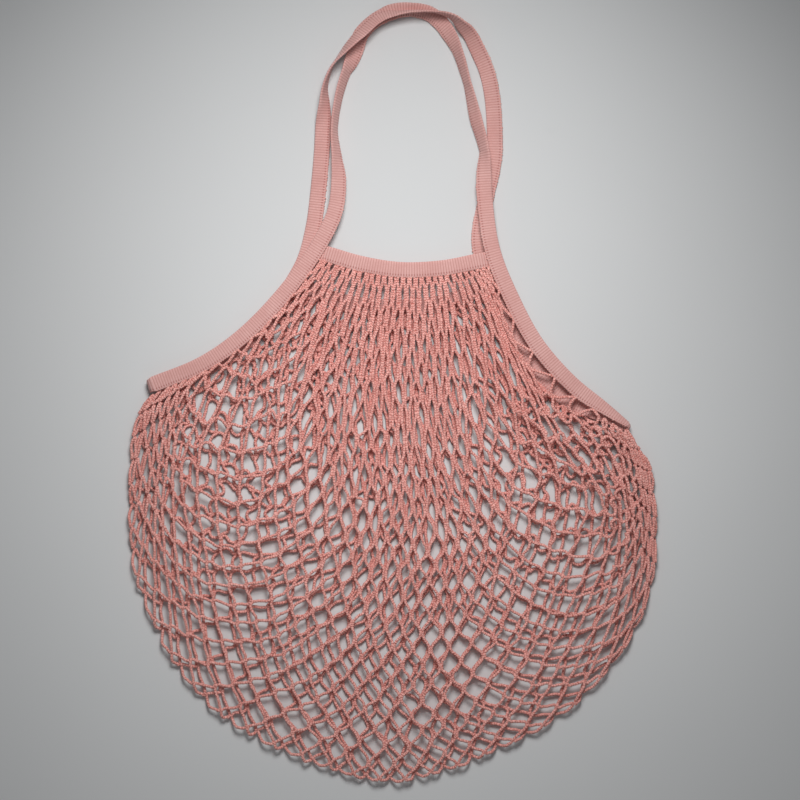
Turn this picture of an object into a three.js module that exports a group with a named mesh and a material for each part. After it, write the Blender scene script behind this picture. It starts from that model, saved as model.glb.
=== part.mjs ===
// Net shopping bag lying on a flat surface, its two handles laid out above its mouth.
// Millimetres. +Y points to the handles, +Z is up, and Z = 0 is the surface the bag lies on.
//
// The net is one rectangular piece. Its two ends are gathered into the front and back bindings,
// its two long sides are gathered into the strap, and its middle row is the fold round the bag's edge.
// The strap is one endless tape: along the front it edges the left side, becomes the front handle and
// edges the right side, then it turns over at the corner and comes back along the back layer.

import * as THREE from "three";

// Driving dimensions
const TAPE_WIDTH = 12.5;
const TAPE_THICK = 2;
const TAPE_CHAMFER = 1;
const TAPE_STEP = 10;
const BINDING_STEP = 9;
const CORNER_STEPS = 5;
const CORD_WIDTH = 4.6;
const CORD_THICK = 2.2;
const SEAM_GAP = 0.5;
const COLUMNS = 19;
const HALF_ROWS = 27;
const MOST_GAPS = 300;
const LEAST_GAP = 4;
const BACK_HEIGHT = CORD_THICK / 2;
const FRONT_HEIGHT = 9.8;
const FOLD_HEIGHT = (FRONT_HEIGHT + BACK_HEIGHT) / 2;
const SIDE_GATHER = 1.5;
const RIM_SPREAD = 0.2;
const PLEAT_HEIGHT = 1.4;
const PLEAT_SHARE = 0.3;
const SIDE_COLUMNS = 5;
const SIDE_SPACING = 3;
const HEM_STEPS = 40;
const LIFT_COLUMNS = 5;

const UP = new THREE.Vector3(0, 0, 1);

// Turns rows of numbers into objects with named columns.
function table(columns, rows) {
  return rows.map((row) => Object.fromEntries(columns.map((name, k) => [name, row[k]])));
}

// Strap along the front layer, from the left corner to the right one.
// The roll is 0 where the tape lies flat and 90 where it stands on its edge.
const FRONT_RUN = table(
  ["x", "y", "z", "roll"],
  [
    [-191, 8.2, 9.8, 0],
    [-153.5, 23.5, 9.8, 0],
    [-122.5, 44.5, 9.8, 0],
    [-90.5, 76.5, 9.8, 0],
    [-61.5, 115.5, 9.8, 0],
    [-46.5, 146, 9.2, 0],
    [-43.4, 172, 8.2, 22],
    [-45, 190, 6.9, 48],
    [-47, 212, 6.4, 58],
    [-43.5, 238, 6.2, 54],
    [-37.4, 258.4, 5.6, 50],
    [-32.6, 269, 3.2, 19],
    [-28.8, 279.5, 2, 6],
    [-26, 288.5, 1.8, 4],
    [-17, 298, 3.2, 20],
    [-7.5, 303.6, 4.5, 36],
    [2, 307, 5.4, 44],
    [15, 308, 5.2, 42],
    [28, 305.6, 3.4, 26],
    [37, 299.5, 2.3, 10],
    [45, 288.5, 4.3, 29],
    [51.5, 275.5, 5.8, 47],
    [59.6, 249, 6, 47],
    [66, 222, 6, 43],
    [73, 195, 6.9, 58],
    [72.6, 178, 7.6, 25],
    [73.2, 158, 8.6, 0],
    [79.5, 115, 9.8, 0],
    [95.3, 75.5, 9.8, 0],
    [114.8, 40, 9.8, 0],
    [141.5, 9.5, 9.8, 0],
    [165, -9.5, 9.8, -12],
    [180, -21.5, 10.2, -32],
    [190, -29.5, 10.6, -45],
  ],
);
const FRONT_LEFT_SHOULDER = 4;
const FRONT_RIGHT_SHOULDER = 27;

// Strap along the back layer, again from the left corner to the right one.
const BACK_RUN = table(
  ["x", "y", "z", "roll"],
  [
    [-191, 8.2, 1, 0],
    [-153, 20, 1, 0],
    [-121, 40, 1, 0],
    [-101, 58.5, 1, 0],
    [-84, 84.5, 1, 0],
    [-71, 108, 1, 0],
    [-63.8, 135, 1, 0],
    [-60.2, 162, 1, 0],
    [-57.2, 195, 1.2, 0],
    [-56, 216, 2.4, 10],
    [-55, 231, 5.4, 45],
    [-54.2, 247, 7, 69],
    [-48.4, 262.3, 9.8, 65],
    [-37.5, 275.5, 12.7, 62],
    [-24.5, 289, 11.4, 54],
    [-11.7, 300.5, 9.8, 44],
    [1.6, 304.8, 9.2, 46],
    [15, 306, 9, 54],
    [35, 305, 10.9, 65],
    [48.3, 300.4, 11.6, 62],
    [55, 294.6, 9.2, 52],
    [61.2, 288.5, 5.4, 34],
    [68.1, 275.6, 3, 16],
    [75, 260, 1.4, 3],
    [79.5, 240, 1, 0],
    [81.6, 209, 1, 0],
    [81, 188, 1, 0],
    [74.2, 156, 1, 0],
    [69.2, 123, 1, 0],
    [74.5, 101, 1, 0],
    [89, 71, 1, 0],
    [112, 27, 1, 0],
    [134, 0.5, 1, 0],
    [158, -14, 2.1, -8],
    [177, -24.5, 4.3, -30],
    [188, -32, 6, -45],
  ],
);
const BACK_LEFT_SHOULDER = 4;
const BACK_RIGHT_SHOULDER = 29;

// Middle line of each binding, from left to right.
const FRONT_BINDING = table(
  ["x", "y"],
  [
    [-53.8, 112.5],
    [-26, 104.5],
    [6, 99.5],
    [40, 101],
    [73.4, 107.5],
  ],
);
const BACK_BINDING = table(
  ["x", "y"],
  [
    [-73.4, 86.2],
    [-40, 74.5],
    [2, 70],
    [42, 74.5],
    [72.6, 85.8],
  ],
);

// Folded edge of the net, from the left corner round the bottom to the right corner.
const RIM = table(
  ["x", "y"],
  [
    [-201, -9],
    [-207.5, -28],
    [-211.5, -70],
    [-209, -136],
    [-194, -181],
    [-170, -225],
    [-134, -261],
    [-90, -286],
    [-46, -302],
    [-2, -310],
    [38, -303],
    [82, -286],
    [122, -266],
    [158, -237],
    [186, -202],
    [204, -164],
    [211, -122],
    [209, -80],
    [204, -51],
  ],
);

// Soft ridges in the front layer, each from one point to another.
const RIDGES = table(
  ["x0", "y0", "x1", "y1", "height", "width"],
  [
    [-142, -14, -163, -68, 4.5, 13],
    [-163, -68, -122, -142, 4, 12],
    [-198, -60, -196, -118, 3, 12],
    [84, 2, 170, -70, 5.5, 13],
    [170, -70, 140, -150, 3.5, 14],
    [196, -80, 196, -150, 3.5, 13],
  ],
);

// A run of tape: a smooth curve through its rows, with the tape's roll beside it.
class TapeRun {
  constructor(rows, height) {
    const places = rows.map((row) => new THREE.Vector3(row.x, row.y, row.z ?? height));
    this.curve = new THREE.CatmullRomCurve3(places, false, "centripetal");
    this.rolls = rows.map((row) => THREE.MathUtils.degToRad(row.roll ?? 0));
    this.spans = rows.length - 1;
  }

  // The tape's middle, the way it runs, the way its width points and its upper face's normal.
  at(row) {
    const place = this.curve.getPoint(row / this.spans);
    const along = this.curve.getTangent(row / this.spans);
    const flat = new THREE.Vector3(-along.y, along.x, 0).normalize();
    const first = Math.min(Math.floor(row), this.spans - 1);
    const roll = THREE.MathUtils.lerp(this.rolls[first], this.rolls[first + 1], row - first);
    const across = flat.multiplyScalar(Math.cos(roll)).addScaledVector(UP, Math.sin(roll));
    across.addScaledVector(along, -across.dot(along)).normalize();
    const lowest = (TAPE_WIDTH * Math.abs(Math.sin(roll)) + TAPE_THICK * Math.cos(roll)) / 2;
    place.setZ(Math.max(place.z, lowest));
    return { place, along, across, normal: along.clone().cross(across) };
  }

  // Evenly spaced frames along the whole run.
  frames(step) {
    const count = Math.round(this.curve.getLength() / step);
    return Array.from({ length: count + 1 }, (_, k) =>
      this.at(this.curve.getUtoTmapping(k / count) * this.spans),
    );
  }

  // A point just clear of the tape's lower edge, where the net hangs from it.
  hem(row) {
    const frame = this.at(row);
    return frame.place.addScaledVector(frame.across, -TAPE_WIDTH / 2 - SEAM_GAP);
  }
}

// Six corners of the tape's flat section, in a frame of the run.
function tapeSection({ place, across, normal }) {
  const half = TAPE_WIDTH / 2;
  const flat = half - TAPE_CHAMFER;
  const thick = TAPE_THICK / 2;
  const corners = [
    [half, 0],
    [flat, thick],
    [-flat, thick],
    [-half, 0],
    [-flat, -thick],
    [flat, -thick],
  ];
  return corners.map(([a, b]) =>
    place.clone().addScaledVector(across, a).addScaledVector(normal, b),
  );
}

// A closed mesh from a list of points and a list of triangles.
function solidGeometry(points, triangles) {
  const geometry = new THREE.BufferGeometry();
  geometry.setFromPoints(points);
  geometry.setIndex(triangles.flat());
  geometry.computeVertexNormals();
  return geometry;
}

// Joins sections one after another, either into an endless band or into a strip with closed ends.
function loft(sections, endless) {
  const sides = sections[0].length;
  const triangles = [];
  const lengths = endless ? sections.length : sections.length - 1;
  for (let k = 0; k < lengths; k += 1) {
    const here = k * sides;
    const next = ((k + 1) % sections.length) * sides;
    for (let s = 0; s < sides; s += 1) {
      const t = (s + 1) % sides;
      triangles.push([here + s, here + t, next + t], [here + s, next + t, next + s]);
    }
  }
  if (!endless) {
    const last = (sections.length - 1) * sides;
    for (let s = 1; s < sides - 1; s += 1) {
      triangles.push([0, s + 1, s], [last, last + s, last + s + 1]);
    }
  }
  return solidGeometry(sections.flat(), triangles);
}

// Frames that turn the tape over at a corner, from one layer to the other.
function cornerTurn(from, to) {
  const middle = from.place.clone().add(to.place).multiplyScalar(0.5);
  const radius = from.place.distanceTo(to.place) / 2;
  return Array.from({ length: CORNER_STEPS }, (_, k) => {
    const angle = (Math.PI * (k + 1)) / (CORNER_STEPS + 1);
    const normal = from.normal
      .clone()
      .multiplyScalar(Math.cos(angle))
      .addScaledVector(from.along, Math.sin(angle));
    const across = from.across.clone().lerp(to.across, (k + 1) / (CORNER_STEPS + 1));
    across.addScaledVector(normal, -across.dot(normal)).normalize();
    return { place: middle.clone().addScaledVector(normal, radius), across, normal };
  });
}

// The same frame for a tape that runs the other way.
function reversed(frame) {
  return { ...frame, along: frame.along.clone().negate(), normal: frame.normal.clone().negate() };
}

const frontStrap = new TapeRun(FRONT_RUN);
const backStrap = new TapeRun(BACK_RUN);
const frontBinding = new TapeRun(FRONT_BINDING, FRONT_HEIGHT);
const backBinding = new TapeRun(BACK_BINDING, TAPE_THICK / 2);

function strapGeometry() {
  const front = frontStrap.frames(TAPE_STEP);
  const back = backStrap.frames(TAPE_STEP).reverse().map(reversed);
  const frames = [
    ...front,
    ...cornerTurn(front.at(-1), back[0]),
    ...back,
    ...cornerTurn(back.at(-1), front[0]),
  ];
  return loft(frames.map(tapeSection), true);
}

function bindingGeometry(run) {
  return loft(run.frames(BINDING_STEP).map(tapeSection), false);
}

// Outer edge of the net at a side corner, below the tape where that turns over.
// The sign is 1 where the tape's runs end and -1 where they start.
function rimEnd(sign) {
  const ends = [frontStrap, backStrap].map((run) => run.at(sign > 0 ? run.spans : 0));
  const reach = ends[0].place.distanceTo(ends[1].place) / 2;
  const drop = TAPE_WIDTH / 2 + SEAM_GAP + CORD_THICK;
  const corner = new THREE.Vector3();
  for (const { place, along, across } of ends) {
    corner.addScaledVector(place, 0.5);
    corner.addScaledVector(along, (sign * reach) / 2).addScaledVector(across, -drop / 2);
  }
  return corner;
}

const rimCurve = new THREE.CatmullRomCurve3(
  [rimEnd(-1), ...RIM.map((row) => new THREE.Vector3(row.x, row.y, FOLD_HEIGHT)), rimEnd(1)],
  false,
  "centripetal",
);

// A point of the rim, with the meshes closer together at the bottom than at the corners.
function rimPoint(u) {
  return rimCurve.getPointAt(u + (RIM_SPREAD * Math.sin(2 * Math.PI * u)) / (2 * Math.PI));
}

// The four edges of one layer: top and rim by u from left to right, sides by v from top to rim.
function layerEdges(binding, strap, leftShoulder, rightShoulder) {
  const topLeft = binding.hem(0);
  const topRight = binding.hem(binding.spans);
  const gathered = (v) => 1 - (1 - v) ** SIDE_GATHER;
  const side = (v, top, shoulder, corner, rimCorner) => {
    const place = strap.hem(THREE.MathUtils.lerp(shoulder, corner, gathered(v)));
    place.addScaledVector(top.clone().sub(strap.hem(shoulder)), (1 - v) ** 4);
    return place.addScaledVector(rimCorner.clone().sub(strap.hem(corner)), v ** 12);
  };
  const hems = (shoulder, corner) =>
    Array.from({ length: HEM_STEPS + 1 }, (_, k) => {
      const row = THREE.MathUtils.lerp(shoulder, corner, k / HEM_STEPS);
      return { place: strap.hem(row), across: strap.at(row).across };
    });
  return {
    leftHems: hems(leftShoulder, 0),
    rightHems: hems(rightShoulder, strap.spans),
    top: (u) => binding.hem(binding.curve.getUtoTmapping(u) * binding.spans),
    left: (v) => side(v, topLeft, leftShoulder, 0, rimPoint(0)),
    right: (v) => side(v, topRight, rightShoulder, strap.spans, rimPoint(1)),
  };
}

const frontEdges = layerEdges(
  frontBinding,
  frontStrap,
  FRONT_LEFT_SHOULDER,
  FRONT_RIGHT_SHOULDER,
);
const backEdges = layerEdges(backBinding, backStrap, BACK_LEFT_SHOULDER, BACK_RIGHT_SHOULDER);

// Fills the space between four edges, so that rows and columns run smoothly from edge to edge.
function fillBetween(edges, u, v) {
  const place = edges.top(u).multiplyScalar(1 - v).addScaledVector(rimPoint(u), v);
  place.addScaledVector(edges.left(v), 1 - u).addScaledVector(edges.right(v), u);
  place.addScaledVector(edges.top(0), -(1 - u) * (1 - v));
  place.addScaledVector(edges.top(1), -u * (1 - v));
  place.addScaledVector(rimPoint(0), -(1 - u) * v);
  return place.addScaledVector(rimPoint(1), -u * v);
}

// Moves a place in plan, away from the tape's lower edge, until it lies deep enough inside the net.
function pushInside(place, hems, depth) {
  const from = hems.map((hem) => hem.place.clone().sub(place).setZ(0));
  const distances = from.map((way) => way.lengthSq());
  const nearest = distances.indexOf(Math.min(...distances));
  const across = hems[nearest].across.clone().setZ(0).normalize();
  place.addScaledVector(across, -Math.max(0, depth - from[nearest].dot(across)));
}

// Places of all columns and rows of one layer, its last row on the rim.
// The columns next to each side are kept apart from the tape, also where the rim runs on from it.
function layerGrid(edges) {
  const steps = Array.from({ length: 2 * COLUMNS + 1 }, (_, c) => c / (2 * COLUMNS));
  const rows = Array.from({ length: Math.ceil(HALF_ROWS / 2) }, (_, r) => (2 * r) / HALF_ROWS);
  const grid = [...rows, 1].map((v) => steps.map((u) => fillBetween(edges, u, v)));
  for (let r = 1; r < rows.length; r += 1) {
    for (let k = 1; k <= SIDE_COLUMNS; k += 1) {
      pushInside(grid[r][k], edges.leftHems, k * SIDE_SPACING);
      pushInside(grid[r][2 * COLUMNS - k], edges.rightHems, k * SIDE_SPACING);
    }
  }
  return grid;
}

const frontGrid = layerGrid(frontEdges);
const backGrid = layerGrid(backEdges);

// Height of the ridges over a point of the front layer.
function ridgeHeight(place) {
  const point = new THREE.Vector3(place.x, place.y, 0);
  return RIDGES.reduce((sum, row) => {
    const line = new THREE.Line3(
      new THREE.Vector3(row.x0, row.y0, 0),
      new THREE.Vector3(row.x1, row.y1, 0),
    );
    const nearest = line.closestPointToPoint(point, true, new THREE.Vector3());
    return sum + row.height * Math.exp(-((nearest.distanceTo(point) / row.width) ** 2));
  }, 0);
}

// How far the tape's lower edge lifts the net beside it above a layer's height.
function sideLift(edges, column, v, height) {
  const nearness = (columns) => Math.max(0, 1 - Math.max(0, columns - 1) / LIFT_COLUMNS) ** 2;
  const left = Math.max(0, edges.left(v).z - height) * nearness(column);
  return left + Math.max(0, edges.right(v).z - height) * nearness(2 * COLUMNS - column);
}

// A place on the net's middle surface and the way its outer side faces there.
// Columns 0 to 2 * COLUMNS run from left to right, rows 0 to HALF_ROWS from the front end to the back.
function netPlace(column, row) {
  const u = column / (2 * COLUMNS);
  const outward = new THREE.Vector3(-1, 0, 0).applyAxisAngle(UP, Math.PI * u);
  if (row === HALF_ROWS / 2) {
    return { place: rimPoint(u), normal: outward, onFold: true };
  }
  const onFront = 2 * row < HALF_ROWS;
  const v = (2 * (onFront ? row : HALF_ROWS - row)) / HALF_ROWS;
  const [grid, edges] = onFront ? [frontGrid, frontEdges] : [backGrid, backEdges];
  const place = grid[onFront ? row : HALF_ROWS - row][column].clone();
  const inside = Math.sin(Math.PI * u) ** 0.5 * (1 - v ** 6);
  const pleat = column % 4 < 2 ? PLEAT_HEIGHT * Math.max(0, 1 - v / PLEAT_SHARE) : 0;
  const relief = onFront ? (ridgeHeight(place) + pleat) * inside : 0;
  const height = onFront ? FRONT_HEIGHT : BACK_HEIGHT;
  place.setZ(height + relief + sideLift(edges, column, v, height));
  return { place, normal: UP.clone().multiplyScalar(onFront ? 1 : -1), onFold: false };
}

// Crossings of the net's cords lie at every other step of columns and rows, like a chessboard's squares.
// Each mesh is the diamond round a free step. It becomes an open gap with cords of four-sided section
// round it, or stays closed where the net is gathered too tightly.
function netGeometry() {
  const places = [];
  const numbers = new Map();
  const knot = (column, row) => {
    const key = `${column} ${row}`;
    if (!numbers.has(key)) {
      numbers.set(key, places.push(netPlace(column, row)) - 1);
    }
    return numbers.get(key);
  };
  const foldRow = HALF_ROWS / 2;
  const inNet = ([column, row]) =>
    column >= 0 && column <= 2 * COLUMNS && row >= 0 && row <= HALF_ROWS;

  // Corners of one mesh in order, with a point wherever a cord passes over the folded edge
  // and one half-way along each stitched edge.
  const meshRing = (column, row) => {
    const corners = [
      [column, row - 1],
      [column - 1, row],
      [column, row + 1],
      [column + 1, row],
    ].filter(inNet);
    return corners.flatMap(([c, r], k) => {
      const [nextC, nextR] = corners[(k + 1) % corners.length];
      const between = [];
      if (c === nextC || r === nextR) {
        between.push((r + nextR) / 2);
      }
      if ((r - foldRow) * (nextR - foldRow) < 0) {
        between.push(foldRow);
      }
      between.sort((a, b) => (a - b) * (nextR - r));
      return [knot(c, r), ...between.map((stop) => knot((c + nextC) / 2, stop))];
    });
  };

  const meshes = [];
  for (let row = 0; row <= HALF_ROWS; row += 1) {
    for (let column = (row + 1) % 2; column <= 2 * COLUMNS; column += 2) {
      const ring = meshRing(column, row);
      const inside = column > 0 && column < 2 * COLUMNS && row > 0 && row < HALF_ROWS;
      if (ring.length > 2) {
        meshes.push({ ring, inside, ...meshSize(ring.map((n) => places[n].place)) });
      }
    }
  }
  const wide = meshes.filter((m) => m.inside && 2 * m.inradius - CORD_WIDTH > LEAST_GAP);
  wide.sort((a, b) => b.inradius - a.inradius);
  const open = new Set(wide.slice(0, MOST_GAPS));

  const shifted = (by) => places.map((at) => at.place.clone().addScaledVector(at.normal, by));
  const outer = shifted(CORD_THICK / 2);
  const inner = shifted(-CORD_THICK / 2);
  const points = [...outer, ...inner];
  const within = outer.length;
  const triangles = [];
  const sides = new Set();
  for (const mesh of meshes) {
    const { ring, centre, inradius } = mesh;
    const share = 1 - CORD_WIDTH / 2 / inradius;
    const gap = points.length;
    if (open.has(mesh)) {
      points.push(...ring.map((n) => centre.clone().lerp(places[n].place, share)));
    }
    ring.forEach((a, k) => {
      const next = (k + 1) % ring.length;
      const b = ring[next];
      sides.add(`${a} ${b}`);
      if (open.has(mesh)) {
        triangles.push([a, b, gap + next], [a, gap + next, gap + k]);
        triangles.push([b + within, a + within, gap + k], [b + within, gap + k, gap + next]);
      }
    });
    for (const half of open.has(mesh) ? [] : halves(ring, places)) {
      const [first, ...rest] = fanOrder(half, places);
      rest.slice(1).forEach((b, k) => {
        const a = rest[k];
        triangles.push([first, a, b], [first + within, b + within, a + within]);
      });
    }
  }
  for (const side of sides) {
    const [a, b] = side.split(" ").map(Number);
    if (!sides.has(`${b} ${a}`)) {
      triangles.push([b, a, a + within], [b, a + within, b + within]);
    }
  }
  return solidGeometry(points, triangles);
}

// A closed mesh that passes over the folded edge is filled as two halves that meet there.
function halves(ring, places) {
  const folds = ring.flatMap((n, k) => (places[n].onFold ? [k] : []));
  if (folds.length !== 2) {
    return [ring];
  }
  const [from, to] = folds;
  return [ring.slice(from, to + 1), [...ring.slice(to), ...ring.slice(0, from + 1)]];
}

// The same ring, started where a fan of triangles from its first corner fills it without overlap.
function fanOrder(ring, places) {
  const score = ([first, ...rest]) => {
    const areas = rest.slice(1).map((n, k) => {
      const corners = [first, rest[k], n].map((number) => places[number].place);
      return new THREE.Triangle(...corners).getArea();
    });
    return areas.reduce((sum, area) => sum + area) - Math.min(...areas) / 10;
  };
  return ring
    .map((_, k) => [...ring.slice(k), ...ring.slice(0, k)])
    .reduce((best, turned) => (score(turned) < score(best) ? turned : best));
}

// Middle of a mesh and the radius of the circle that its cords' middle lines leave free.
function meshSize(corners) {
  const centre = new THREE.Vector3();
  corners.forEach((corner) => centre.addScaledVector(corner, 1 / corners.length));
  let area = 0;
  let length = 0;
  corners.forEach((corner, k) => {
    const next = corners[(k + 1) % corners.length];
    area += new THREE.Triangle(centre, corner, next).getArea();
    length += corner.distanceTo(next);
  });
  return { centre, inradius: (2 * area) / length };
}

const netCotton = new THREE.MeshStandardMaterial({ color: 0xd98a7e, roughness: 0.9, metalness: 0 });
const tapeCotton = new THREE.MeshStandardMaterial({ color: 0xe3a79e, roughness: 0.85, metalness: 0 });

const bag = new THREE.Group();
function addPiece(name, geometry, material) {
  const piece = new THREE.Mesh(geometry, material);
  piece.name = name;
  bag.add(piece);
}

addPiece("net", netGeometry(), netCotton);
addPiece("strap", strapGeometry(), tapeCotton);
addPiece("front_binding", bindingGeometry(frontBinding), tapeCotton);
addPiece("back_binding", bindingGeometry(backBinding), tapeCotton);

export default bag;
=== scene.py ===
# %% [markdown]
# # A net shopping bag, laid flat
# The bag is one wide piece of knitted cotton net, folded in two at its round lower edge.
# Two short bindings gather its top ends, and one endless ribbed tape edges both sides and makes the handles.
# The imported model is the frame: each piece made here takes the place of one of its solids.

# %% Load the frame
import math

import bmesh
import bpy
import numpy as np
from mathutils import Matrix, Vector


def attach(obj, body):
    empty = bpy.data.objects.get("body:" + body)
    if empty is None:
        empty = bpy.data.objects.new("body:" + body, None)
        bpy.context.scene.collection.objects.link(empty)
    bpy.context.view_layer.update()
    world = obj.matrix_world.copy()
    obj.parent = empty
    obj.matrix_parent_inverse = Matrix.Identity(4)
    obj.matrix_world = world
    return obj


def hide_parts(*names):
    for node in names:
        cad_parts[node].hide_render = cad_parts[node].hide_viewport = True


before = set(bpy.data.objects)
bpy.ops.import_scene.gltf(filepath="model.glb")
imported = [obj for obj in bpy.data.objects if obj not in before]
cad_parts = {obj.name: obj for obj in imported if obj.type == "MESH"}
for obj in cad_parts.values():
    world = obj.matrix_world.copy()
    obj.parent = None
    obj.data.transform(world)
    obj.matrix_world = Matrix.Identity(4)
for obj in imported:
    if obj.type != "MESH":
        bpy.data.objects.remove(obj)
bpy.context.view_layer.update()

# %% [markdown]
# ## Camera
# The bag is seen from straight above, and 800 pixels cover 640 mm.
# A camera with no turn looks down with +Y at the top, so only its place and its height need working out.
# A long lens keeps the low folds from leaning outwards.

# %% Camera
VIEW_WIDTH, VIEW_MIDDLE = 0.640, (0.0056, -0.0044)
LENS, SENSOR = 85.0, 36.0
SCALE_HEIGHT = 0.006

camera = bpy.data.objects.new("camera", bpy.data.cameras.new("camera"))
camera.data.lens, camera.data.sensor_width = LENS, SENSOR
camera.location = (*VIEW_MIDDLE, VIEW_WIDTH * LENS / SENSOR + SCALE_HEIGHT)
bpy.context.scene.collection.objects.link(camera)
bpy.context.scene.camera = camera
print("camera height", round(camera.location.z, 3))

# %% [markdown]
# ## Route of the tape
# The tape is sewn to the net along two slopes. Its free lengths are the handles, which lie twisted.
# Each row gives a place of the tape's middle in millimetres and its roll in degrees,
# from the left corner to the right.
# A smooth curve through the rows gives the middle line, and the roll turns the tape about that line.

# %% Route of the tape
FRONT_RUN = np.array([
    (-191, 8.2, 9.8, 0), (-153.5, 23.5, 9.8, 0), (-122.5, 44.5, 9.8, 0), (-90.5, 76.5, 9.8, 0),
    (-61.5, 115.5, 9.8, 0), (-46.5, 146, 9.2, 0), (-43.4, 172, 8.2, 22), (-45, 190, 6.9, 54),
    (-47, 212, 6.4, 70), (-43.5, 238, 6.2, 66), (-37.4, 258.4, 5.6, 60), (-32.6, 269, 3.2, 26),
    (-28.8, 279.5, 2, 6), (-26, 288.5, 1.8, -8), (-17, 298, 3.2, -16), (-7.5, 303.6, 4.5, -8),
    (2, 307, 5.4, 24), (15, 308, 5.2, 42), (28, 305.6, 3.4, 26), (37, 299.5, 2.3, 10),
    (45, 288.5, 4.3, 29), (51.5, 275.5, 5.8, 54), (59.6, 249, 6, 67), (66, 222, 6, 43),
    (73, 195, 6.9, 58), (72.6, 178, 7.6, 25), (73.2, 158, 8.6, 0), (79.5, 115, 9.8, 0),
    (95.3, 75.5, 9.8, 0), (114.8, 40, 9.8, 0), (141.5, 9.5, 9.8, 0), (165, -9.5, 9.8, -12),
    (180, -21.5, 10.2, -32), (190, -29.5, 10.6, -45),
])
BACK_RUN = np.array([
    (-191, 8.2, 1, 0), (-153, 20, 1, 0), (-121, 40, 1, 0), (-101, 58.5, 1, 0),
    (-84, 84.5, 1, 0), (-71, 108, 1, 0), (-63.8, 135, 1, 0), (-60.2, 162, 1, 0),
    (-57.2, 195, 1.2, 0), (-56, 216, 2.4, 10), (-55, 231, 5.4, 48), (-54.2, 247, 7, 78),
    (-48.4, 262.3, 9.8, 92), (-37.5, 275.5, 12.7, 118), (-24.5, 289, 11.4, 138), (-11.7, 300.5, 9.8, 140),
    (1.6, 304.8, 9.2, 124), (15, 306, 9, 106), (35, 305, 10.9, 98), (48.3, 300.4, 11.6, 76),
    (55, 294.6, 9.2, 54), (61.2, 288.5, 5.4, 34), (68.1, 275.6, 3, 16), (75, 260, 1.4, 3),
    (79.5, 240, 1, 0), (81.6, 209, 1, 0), (81, 188, 1, 0), (74.2, 156, 1, 0),
    (69.2, 123, 1, 0), (74.5, 101, 1, 0), (89, 71, 1, 0), (112, 27, 1, 0),
    (134, 0.5, 1, 0), (158, -14, 2.1, -8), (177, -24.5, 4.3, -30), (188, -32, 6, -45),
])
FRONT_BINDING = np.array([
    (-53.8, 112.5, 9.8, 0), (-26, 104.5, 9.8, 0), (6, 99.5, 9.8, 0), (40, 101, 9.8, 0), (73.4, 107.5, 9.8, 0),
])
BACK_BINDING = np.array([
    (-73.4, 86.2, 1, 0), (-40, 74.5, 1, 0), (2, 70, 1, 0), (42, 74.5, 1, 0), (72.6, 85.8, 1, 0),
])
TAPE_WIDTH, TAPE_THICK = 12.5, 2.0
FINE_ROWS = 6000
MM = 1000
SMALL_STEP, TINY = 1e-3, 1e-6


def unit(vectors):
    return vectors / np.linalg.norm(vectors, axis=-1, keepdims=True)


def through(points, rows):
    """Places on a smooth curve through the points, at fractional row numbers."""
    ends = np.vstack([2 * points[0] - points[1], points, 2 * points[-1] - points[-2]])
    k = np.clip(np.floor(rows).astype(int), 0, len(points) - 2)
    t = (rows - k)[:, None]
    a, b, c, d = ends[k], ends[k + 1], ends[k + 2], ends[k + 3]
    s0, s1, s2 = (np.linalg.norm(step, axis=1)[:, None] ** 0.5 for step in (b - a, c - b, d - c))
    m1 = ((b - a) / s0 - (c - a) / (s0 + s1) + (c - b) / s1) * s1
    m2 = ((c - b) / s1 - (d - b) / (s1 + s2) + (d - c) / s2) * s1
    return b + m1 * t + (3 * (c - b) - 2 * m1 - m2) * t ** 2 + (2 * (b - c) + m1 + m2) * t ** 3


def tape_frames(run, rows):
    """Middle, direction, width direction and face normal of the tape at row numbers."""
    rows = np.asarray(rows, float)
    last = len(run) - 1
    place = through(run[:, :3], rows)
    before, after = (np.clip(rows + step, 0, last) for step in (-SMALL_STEP, SMALL_STEP))
    along = unit(through(run[:, :3], after) - through(run[:, :3], before))
    roll = np.radians(np.interp(rows, np.arange(last + 1), run[:, 3]))[:, None]
    flat = unit(np.stack([-along[:, 1], along[:, 0], 0 * along[:, 0]], axis=1))
    across = np.cos(roll) * flat + np.sin(roll) * np.array([0, 0, 1.0])
    across = unit(across - along * (across * along).sum(1, keepdims=True))
    lowest = (TAPE_WIDTH * np.abs(np.sin(roll)) + TAPE_THICK * np.cos(roll))[:, 0] / 2
    place[:, 2] = np.maximum(place[:, 2], lowest)
    return {"place": place, "along": along, "across": across, "normal": np.cross(along, across),
            "row": rows, "wide": np.ones(len(rows))}


def lengths_along(points):
    return np.concatenate([[0], np.cumsum(np.linalg.norm(np.diff(points, axis=0), axis=1))])


def even_rows(run, step):
    """Row numbers at even steps along a run."""
    fine = np.linspace(0, len(run) - 1, FINE_ROWS)
    length = lengths_along(through(run[:, :3], fine))
    return np.interp(np.linspace(0, length[-1], round(length[-1] / step) + 1), length, fine)


for name, run in (("front run", FRONT_RUN), ("back run", BACK_RUN)):
    middle_line = through(run[:, :3], np.linspace(0, len(run) - 1, FINE_ROWS))
    print(name, round(lengths_along(middle_line)[-1]), "mm")

# %% [markdown]
# ## Tape with its ribs
# The real tape is a narrow woven sleeve with fine ribs across it, one rib every 2.1 mm, and soft round edges.
# A strip could be lofted section by section, but a grid already has the faces that a sleeve needs.
# So the grid is rolled up: one way of it runs along the tape and the other goes round its section.
# Every fourth section is a little thinner, which makes the valleys between the ribs.
# The two edges of the grid are then merged.
# The ribs are deepest at the hem, where the sewing pulls them together, and lower along the front handle.

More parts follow.
